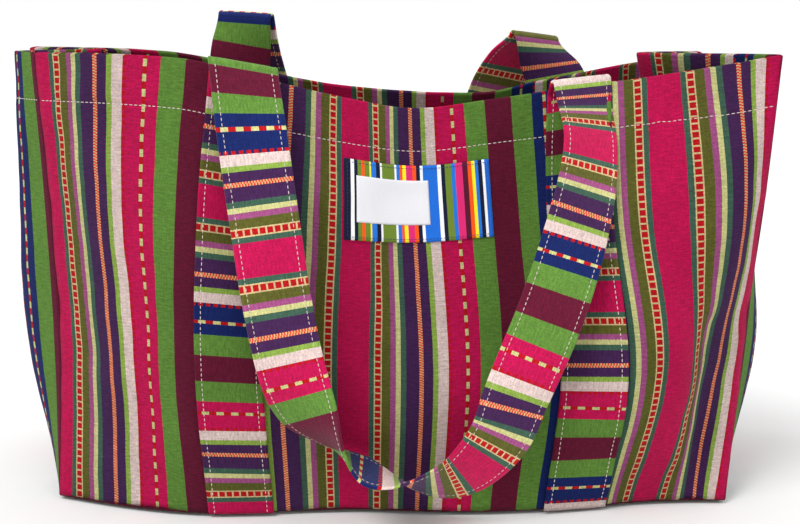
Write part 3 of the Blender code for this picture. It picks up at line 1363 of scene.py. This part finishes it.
@dataclass
class Handles:
    """Both straps: legs, free loops, the folds at their creases and all their stitching."""

    maker: Maker
    # painted light: the legs take a slightly brightened copy of the canvas
    leg_canvas: bpy.types.Material
    # painted light: the loops and creases take a brightened copy of the canvas
    loop_canvas_painted_light: bpy.types.Material
    thread: bpy.types.Material
    section: StrapSection = StrapSection()
    stitch: Thread = field(default_factory=Thread)
    skin: float = 0.55 + 0.35  # mm, from a panel's middle to the strap's underside
    crease_radius: float = 3.0  # mm
    turn: float = 100.0  # mm, in which a loop comes into line with its creases
    leg_tilt_from: float = 0.88  # share of a leg, over which it takes its crease's slope
    loop_tilt: float = 0.06  # share of a loop, at each end
    faces: tuple[int, int, int] = (110, 24, 240)  # along a leg, a crease and a loop
    leg_points: tuple[int, int] = (90, 12)  # of its middle line on the panel, and on to the crease
    crease_points: int = 25
    loop_points: int = 300
    stitch_points: int = 360

    def build(self) -> None:
        """Makes both straps."""
        for shape, name in ((FRONT_STRAP, "front"), (BACK_STRAP, "back")):
            for end, side_name in ((0, "left"), (1, "right")):
                self._leg(shape, end, name, side_name)
                self._fold(shape, end, name, side_name)
            self._loop(shape, name)

    def _axis(self, shape: HandleShape) -> tuple[np.ndarray, np.ndarray]:
        """The handle's axis, and the level direction away from the bag.

        Args:
            shape: which strap.

        Returns:
            Both unit directions.
        """
        left, right = np.array(shape.creases, float)
        axis = unit(right - left)
        away = unit(np.cross(UP, axis)) * shape.side
        return axis, away

    def _crease_frame(self, shape: HandleShape, end: int) -> tuple[np.ndarray, np.ndarray]:
        """One crease's own direction across the strap, and the level direction out of it.

        Args:
            shape: which strap.
            end: 0 for its left crease, 1 for its right one.

        Returns:
            Both unit directions.
        """
        axis, _ = self._axis(shape)
        turn = math.radians(shape.turns[end])
        sideways = np.cross(UP, axis)
        own = unit(axis * math.cos(turn) + sideways * math.sin(turn))
        return own, unit(np.cross(UP, own)) * shape.side

    def _leg_track(self, shape: HandleShape, end: int) -> Track:
        """From the base seam up the panel and on to the crease.

        Args:
            shape: which strap.
            end: 0 for its left leg, 1 for its right one.

        Returns:
            The leg's track.
        """
        axis, away = self._crease_frame(shape, end)
        lift = self.skin + self.section.thickness / 2
        crease = np.array(shape.creases[end], float) - away * self.crease_radius
        v = np.linspace(0.0, 1.0, self.leg_points[0])
        u = spline(Wall.ROW_HEIGHTS, np.array(shape.legs[end])[:, None], v)[:, 0]
        middle = shape.wall.at(u, v, lift)
        step = 4.0  # mm
        across = unit(shape.wall.at(u + step, v, lift) - shape.wall.at(u - step, v, lift))
        outward = shape.wall.normal(u, v)
        free = np.linspace(0.0, 1.0, self.leg_points[1])[1:, None]
        stub = middle[-1] + (crease * MM - middle[-1]) * free
        bend = smooth(0.0, 1.0, free)
        return Track(
            np.vstack([middle, stub]),
            np.vstack([across, unit(across[-1] * (1 - bend) + axis * bend)]),
            np.vstack([outward, unit(outward[-1] * (1 - bend) + away * bend)]),
        )

    def _loop_track(self, shape: HandleShape) -> Track:
        """From the left crease round to the right one.

        Args:
            shape: which strap.

        Returns:
            The loop's track.
        """
        frames = [self._crease_frame(shape, end) for end in (0, 1)]
        ends = [
            np.array(crease, float) + away * self.crease_radius
            for crease, (_, away) in zip(shape.creases, frames)
        ]
        points = np.array([ends[0], *shape.route, ends[1]], float)
        knots = reach_of(points)
        length = knots[-1]
        at = np.linspace(0.0, length, self.loop_points)
        middle = spline(knots, points, at)
        ahead = unit(spline(knots, points, at + 1.0) - spline(knots, points, at - 1.0))
        facing = np.array([0.0, float(shape.side), 0.0])
        across = unit(np.cross(facing, ahead))
        first_half = (at < length / 2)[:, None]
        own = np.where(first_half, frames[0][0], frames[1][0])
        level = own * np.sign((across * own).sum(axis=1))[:, None]
        near = smooth(0.0, self.turn, np.minimum(at, length - at))[:, None]
        across = unit(level * (1 - near) + across * near)
        shares, degrees = zip(*shape.twists)
        angle = np.radians(spline(shares, np.array(degrees)[:, None], at / length))
        outward = unit(np.cross(ahead, across))
        outward *= np.sign(outward @ facing)[:, None]
        turned = across * np.cos(angle) + np.cross(ahead, across) * np.sin(angle) * -shape.side
        faces = outward * np.cos(angle) + np.cross(ahead, outward) * np.sin(angle) * -shape.side
        return Track(middle * MM, unit(turned), unit(faces))

    def _fold_track(self, shape: HandleShape, end: int) -> Track:
        """Up from the leg, over the crease and down to the loop.

        Args:
            shape: which strap.
            end: 0 for its left crease, 1 for its right one.

        Returns:
            The crease's track.
        """
        axis, away = self._crease_frame(shape, end)
        crease = np.array(shape.creases[end], float)
        angle = np.linspace(0.0, math.pi, self.crease_points)[:, None]
        radial = -away * np.cos(angle) + UP * np.sin(angle)
        arc = crease + radial * self.crease_radius
        return Track(arc * MM, np.repeat(axis[None, :], len(arc), axis=0), radial)

    def _strap(self, track: Track, columns: int, phase: Phase, rise: Rise) -> bmesh.types.BMesh:
        """A closed strap along a track.

        Args:
            track: its middle line.
            columns: faces along it.
            phase: the stripes' phase in units, at a share of the track.
            rise: how far up the whole strap is shifted, in mm, at a share and at x mm across.

        Returns:
            The strap, capped at both ends.
        """
        def place(a: np.ndarray, b: np.ndarray) -> Points:
            """Where a share along and a share round the strap stand."""
            x, y = self.section.around(b)
            return track.at(a, x, y) + UP * (rise(a, x) * MM)[:, None]

        def cloth(a: np.ndarray, b: np.ndarray) -> Points:
            """Where they lie on the flat cloth."""
            x, _ = self.section.around(b)
            return np.column_stack([phase(a) * UNIT, x * MM])

        shape = bent_grid(columns, 2 * self.section.points, place, cloth)
        bmesh.ops.remove_doubles(shape, verts=shape.verts, dist=0.02 * MM)
        rims = [edge for edge in shape.edges if edge.is_boundary]
        bmesh.ops.holes_fill(shape, edges=rims, sides=0)
        bmesh.ops.recalc_face_normals(shape, faces=shape.faces)
        return shape

    def _rows(self, track: Track, name: str, body: str, both: bool, rise: Rise) -> None:
        """The two stitched rows of a strap.

        Args:
            track: the strap's middle line.
            name: the piece's name.
            body: what it rides on.
            both: whether both faces show the stitches, and not only the outer one.
            rise: how far up the strap is shifted, in mm, at a share and at x mm across.
        """
        shape = bmesh.new()
        share = np.linspace(0.0, 1.0, self.stitch_points)
        inset = self.section.width / 2 - self.section.groove_inset
        for x in (-inset, inset):
            for face in (1.0, -1.0) if both else (1.0,):
                across = np.full_like(share, x)
                level = self.section.half_height(across) * face
                line, higher = (track.at(share, across, height) for height in (level, level + face))
                shift = UP * (rise(share, across) * MM)[:, None]
                self.stitch.sew(shape, line + shift, unit(higher - line))
        self.maker.finish(name, shape, self.thread, "stitching", body=body)

    def _leg(self, shape: HandleShape, end: int, name: str, side_name: str) -> None:
        """One leg, sewn flat on its panel.

        Args:
            shape: which strap.
            end: 0 for its left leg, 1 for its right one.
            name: the strap's name.
            side_name: the leg's side.
        """
        track = self._leg_track(shape, end)
        reach = math.pi * self.crease_radius * MM / UNIT / 2
        at_crease = shape.phases[-end][1] + (reach if end else -reach)
        bottom = shape.bottoms[end]

        def phase(a: np.ndarray) -> np.ndarray:
            """The stripes' phase, from the leg's lower end to the crease."""
            return bottom + (at_crease - bottom) * a

        def rise(a: np.ndarray, x: np.ndarray) -> np.ndarray:
            """How the leg comes into line with its sloping crease."""
            return shape.tilts[end] * x * smooth(self.leg_tilt_from, 1.0, a)

        mesh = self._strap(track, self.faces[0], phase, rise)
        node = f"{name}_strap_{side_name}"
        self.maker.finish(
            f"{name}_{side_name}_leg", mesh, self.leg_canvas, "strap_canvas", replaced=[node]
        )
        self._rows(track, f"{name}_{side_name}_leg_stitches", "bag", both=False, rise=rise)

    def _fold(self, shape: HandleShape, end: int, name: str, side_name: str) -> None:
        """The strap's fold at a crease.

        Args:
            shape: which strap.
            end: 0 for its left crease, 1 for its right one.
            name: the strap's name.
            side_name: the crease's side.
        """
        _, away = self._crease_frame(shape, end)
        track = self._fold_track(shape, end)
        middle = shape.phases[-end][1]
        reach = track.length() / UNIT / 2 * (-1 if end else 1)
        mesh = self._strap(
            track,
            self.faces[1],
            lambda a: middle + reach * (2 * a - 1),
            lambda a, x: shape.tilts[end] * x,
        )
        piece = self.maker.finish(
            f"{name}_{side_name}_crease", mesh, self.loop_canvas_painted_light, "strap_canvas", body=""
        )
        crease = np.array(shape.creases[end], float)
        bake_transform(piece)

    def _loop(self, shape: HandleShape, name: str) -> None:
        """The free loop.

        Args:
            shape: which strap.
            name: the strap's name.
        """
        track = self._loop_track(shape)
        axis, _ = self._axis(shape)
        left, right = (
            shape.tilts[end] * math.copysign(1.0, float(track.across[-end] @ axis)) for end in (0, 1)
        )
        shares, phases = (np.array(values) for values in zip(*shape.phases))
        reach = math.pi * self.crease_radius * MM / UNIT / 2
        phases[0] += reach
        phases[-1] -= reach

        def phase(a: np.ndarray) -> np.ndarray:
            """The stripes' phase, as the strap's shape gives it."""
            return spline(shares, phases[:, None], a)[:, 0]

        def rise(a: np.ndarray, x: np.ndarray) -> np.ndarray:
            """How each end comes into line with its sloping crease."""
            near, far = smooth(0.0, self.loop_tilt, a), smooth(1 - self.loop_tilt, 1.0, a)
            return x * (left * (1 - near) + right * far)

        mesh = self._strap(track, self.faces[2], phase, rise)
        self.maker.finish(
            f"{name}_loop",
            mesh,
            self.loop_canvas_painted_light,
            "strap_canvas",
            body=shape.body,
            replaced=[f"{name}_handle_loop"],
        )
        self._rows(track, f"{name}_loop_stitches", shape.body, both=True, rise=rise)


@dataclass
class Label:
    """The patch sewn on the front, and the blank tag sewn on the patch.

    A box is its left and right edges in mm along the panel, then its lower and upper ones as
    shares of the height.
    """

    maker: Maker
    patch: bpy.types.Material
    tape: bpy.types.Material
    thread: bpy.types.Material
    patch_box: tuple[float, float, float, float] = (224.0, 341.0, 0.672, 0.862)
    tag_box: tuple[float, float, float, float] = (233.5, 297.0, 0.715, 0.825)
    wall_height: float = 291.0  # mm, of the front panel where the patch is
    patch_lift: float = 1.5  # mm
    tag_lift: float = 2.3
    edge_sink: float = 0.35  # mm, by which an edge is pressed down
    edge_reach: float = 1.2  # mm
    edge_tall: float = 58.0  # mm, a piece's height where its edges are pressed
    stitch_inset: float = 2.4  # mm
    stitch_lift: float = 0.42  # mm, over the patch's middle
    faces: tuple[int, int] = (60, 30)

    def build(self) -> None:
        """Makes the patch, the tag and the patch's stitching."""
        self._piece("striped_patch", self.patch_box, self.patch_lift, self.patch,
                    "label_canvas", "label_patch", 0.8 * MM)
        self._piece("blank_tag", self.tag_box, self.tag_lift, self.tape,
                    "label_tape", "label_tag", 0.35 * MM)
        self._stitches()

    def _piece(
        self,
        name: str,
        box: tuple[float, float, float, float],
        lift: float,
        finish: bpy.types.Material,
        slot: str,
        node: str,
        thickness: float,
    ) -> None:
        """One flat piece that follows the front panel.

        Args:
            name: the piece's name.
            box: its edges on the panel.
            lift: its middle's height over the panel's, in mm.
            finish: its material.
            slot: the record's material slot.
            node: the CAD node that it stands for.
            thickness: in metres.
        """
        left, right, low, high = box
        wide, tall = right - left, high - low

        def place(a: np.ndarray, b: np.ndarray) -> Points:
            """Where its shares stand, with the edges pressed down."""
            edge = np.minimum(np.minimum(a, 1 - a) * wide, np.minimum(b, 1 - b) * self.edge_tall)
            sunk = self.edge_sink * fading(edge, self.edge_reach)
            return FRONT.at(left + a * wide, low + b * tall, lift - sunk)

        def cloth(a: np.ndarray, b: np.ndarray) -> Points:
            """Where they lie on the flat cloth."""
            return np.column_stack([a * wide, b * tall * self.wall_height]) * MM

        piece = self.maker.finish(
            name, bent_grid(*self.faces, place, cloth), finish, slot, replaced=[node]
        )
        thicken(piece, thickness)

    def _stitches(self) -> None:
        """A row just inside each edge of the patch."""
        left, right, low, high = self.patch_box
        inset_u, inset_v = self.stitch_inset, self.stitch_inset / Wall.TALL
        corners = (
            (left + inset_u, low + inset_v), (right - inset_u, low + inset_v),
            (right - inset_u, high - inset_v), (left + inset_u, high - inset_v),
        )
        shape = bmesh.new()
        row = Thread(pitch=2.6 * MM, radius=0.22 * MM)
        t = np.linspace(0.0, 1.0, 60)
        for near, far in zip(corners, corners[1:] + corners[:1]):
            u, v = (start + (stop - start) * t for start, stop in zip(near, far))
            lift = self.patch_lift + self.stitch_lift
            row.sew(shape, FRONT.at(u, v, lift), FRONT.normal(u, v))
        self.maker.finish("patch_stitches", shape, self.thread, "label_canvas")


@dataclass
class Seams:
    """The hems' stitching, round the whole mouth."""

    maker: Maker
    thread: bpy.types.Material
    hem: Hem = Hem()
    skin: float = 0.55  # mm, from the cloth's middle to its face
    wide: float = CLOTH_WIDE

    def build(self) -> None:
        """Makes one row of stitches on each wall."""
        for name, wall in (("front", FRONT), ("back", BACK)):
            u = np.linspace(2.0, self.wide - 2.0, 400)
            self._row(name, wall, u, u, np.ones_like(u))
        for name, side in (("left", LEFT), ("right", RIGHT)):
            w = np.linspace(0.02, 0.98, 160)
            self._row(f"{name}_side", side, w, w * side.WIDE, np.sin(w * math.pi))

    def _row(
        self, name: str, surface: Surface, u: np.ndarray, along: np.ndarray, calm: np.ndarray
    ) -> None:
        """One wall's row.

        Args:
            name: the wall's name.
            surface: its surface.
            u: where the row runs, as the surface counts it.
            along: the same in mm.
            calm: how much of the hem's puckers the wall has there, from 0 to 1.
        """
        v = np.full_like(u, self.hem.line())
        lift = self.skin + self.hem.puckers(along, v) * calm
        shape = bmesh.new()
        Thread().sew(shape, surface.at(u, v, lift), surface.normal(u, v))
        self.maker.finish(f"{name}_hem_stitches", shape, self.thread, "stitching")


@dataclass
class Studio:
    """The pale floor, the soft lights and the camera."""

    eye: tuple[float, float, float] = (0.0, -0.93, 0.331)
    down: float = 10.0  # degrees
    lens: float = 53.55  # mm
    sensor: float = 36.0  # mm
    floor_size: float = 60.0
    floor_drop: float = 0.4 * MM
    sky: Light = (1.0, 1.0, 1.0, 1.0)

    def build(self) -> None:
        """Makes everything that isn't the bag."""
        self._floor()
        self._sky()
        self._sun("key", azimuth=-42.0, elevation=52.0, softness=24.0, strength=1.7)
        self._sun("fill", azimuth=55.0, elevation=30.0, softness=60.0, strength=0.2)
        self._camera()
        bpy.context.scene.view_settings.view_transform = "Standard"

    def _floor(self) -> None:
        """A wide flat floor just under the bag."""
        shape = bmesh.new()
        bmesh.ops.create_grid(shape, x_segments=2, y_segments=2, size=self.floor_size / 2)
        bmesh.ops.translate(shape, verts=shape.verts, vec=(0.0, 0.0, -self.floor_drop))
        floor = in_scene("floor", as_mesh("floor", shape))
        floor.data.materials.append(PaleFloor().build())

    def _sky(self) -> None:
        """Even pale light all round."""
        world = bpy.data.worlds.new("studio")
        world.use_nodes = True
        back = world.node_tree.nodes["Background"]
        back.inputs["Color"].default_value = self.sky
        back.inputs["Strength"].default_value = 1.0
        bpy.context.scene.world = world

    def _sun(
        self, name: str, azimuth: float, elevation: float, softness: float, strength: float
    ) -> None:
        """A broad soft light from far off.

        Args:
            name: the light's name.
            azimuth: degrees to the right of straight in front.
            elevation: degrees over the floor.
            softness: the light's width, in degrees.
            strength: its power on a surface that faces it.
        """
        light = bpy.data.lights.new(name, "SUN")
        light.angle = math.radians(softness)
        light.energy = strength
        turn, rise = math.radians(azimuth), math.radians(elevation)
        level = math.cos(rise)
        source = Vector((math.sin(turn) * level, -math.cos(turn) * level, math.sin(rise)))
        in_scene(name, light).rotation_euler = (-source).to_track_quat("-Z", "Y").to_euler()

    def _camera(self) -> None:
        """The camera, level with the rim and looking slightly down."""
        data = bpy.data.cameras.new("camera")
        data.lens = self.lens
        data.sensor_width = self.sensor
        camera = in_scene("camera", data)
        camera.location = self.eye
        camera.rotation_euler = (math.radians(90.0 - self.down), 0.0, 0.0)
        bpy.context.scene.camera = camera


PATCH_STRIPES = (  # mm
    (5.0, LabelYarn.NAVY), (2.4, LabelYarn.WHITE), (3.0, LabelYarn.NAVY), (3.4, LabelYarn.GREEN),
    (2.6, LabelYarn.ORANGE), (4.0, LabelYarn.GREEN), (1.6, LabelYarn.YELLOW), (4.6, LabelYarn.BLUE),
    (3.4, LabelYarn.NAVY), (1.8, LabelYarn.WHITE), (12.0, LabelYarn.GREEN), (2.2, LabelYarn.WHITE),
    (3.0, LabelYarn.BLUE), (2.4, LabelYarn.ORANGE), (3.2, LabelYarn.YELLOW), (5.4, LabelYarn.PINK),
    (3.2, LabelYarn.ORANGE), (3.4, LabelYarn.NAVY), (2.4, LabelYarn.WHITE),
    (11.0, LabelYarn.DEEP_BLUE), (2.6, LabelYarn.WHITE), (2.6, LabelYarn.NAVY),
    (4.8, LabelYarn.GREEN), (2.6, LabelYarn.BLUE), (5.0, LabelYarn.PINK), (4.0, LabelYarn.MAROON),
    (2.6, LabelYarn.ORANGE), (2.2, LabelYarn.YELLOW), (2.6, LabelYarn.BLUE), (2.4, LabelYarn.NAVY),
    (1.8, LabelYarn.WHITE), (4.6, LabelYarn.DEEP_BLUE),
)


def main() -> None:
    """Builds every class in order."""
    logging.basicConfig(level=logging.INFO, format="%(message)s")
    maker = Maker()
    canvas = StripedCanvas("striped_canvas").build()
    # painted shade: the base's copy of the canvas is darkened to 0.7 for the shade under the bag
    base_canvas = StripedCanvas("base_canvas", brightness=0.7).build()
    # painted light: the legs' copy of the canvas is made 1.05 times as bright
    strap_canvas = StripedCanvas("strap_canvas", brightness=1.05, mottle=0.2).build()
    # painted light: the loops' and creases' copy of the canvas is 1.45 times as bright, for the light that
    # falls on their upturned faces
    loop_canvas_painted_light = StripedCanvas("loop_canvas_painted_light", brightness=1.45, sheen=0.12, mottle=0.2).build()
    pale = PlainThread("pale_thread", (226, 206, 200)).build()
    navy = PlainThread("navy_thread", (40, 60, 110)).build()
    patch = LabelStripes("patch_weave", PATCH_STRIPES).build()
    tape = WovenTape("tag_tape", (228, 228, 232)).build()

    Studio().build()
    Panels(maker, canvas, base_canvas).build()
    Handles(maker, strap_canvas, loop_canvas_painted_light, pale).build()
    Label(maker, patch, tape, navy).build()
    Seams(maker, pale).build()
    STAMP.info("%d pieces", len(maker.made))


if __name__ == "__main__":
    main()
